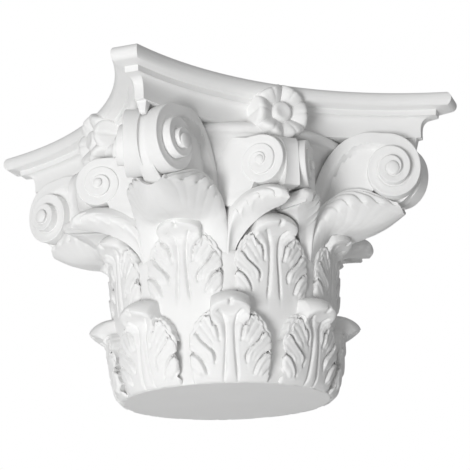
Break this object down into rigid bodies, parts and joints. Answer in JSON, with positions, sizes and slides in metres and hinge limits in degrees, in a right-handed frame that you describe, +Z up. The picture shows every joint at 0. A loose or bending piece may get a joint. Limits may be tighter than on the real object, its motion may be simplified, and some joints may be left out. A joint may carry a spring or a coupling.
{
  "type": "corinthian capital",
  "caption": "Moulded corinthian capital with acanthus leaves, corner volutes, inner scrolls and a hollow-sided abacus with a flower on each side.",
  "frame": {"origin": "centre of the flat underside, on the axis of the capital", "axes": "+Z up along the axis of the column; the middles of the four hollow sides face -Y, +X, +Y and -X, and the horns point along the diagonals"},
  "size_m": [0.3952, 0.3952, 0.308],
  "materials": {
    "moulded_white": "smooth matte white, as moulded, ready for paint"
  },
  "bodies": {
    "root": {"capital": "moulded_white"}
  },
  "joints": []
}
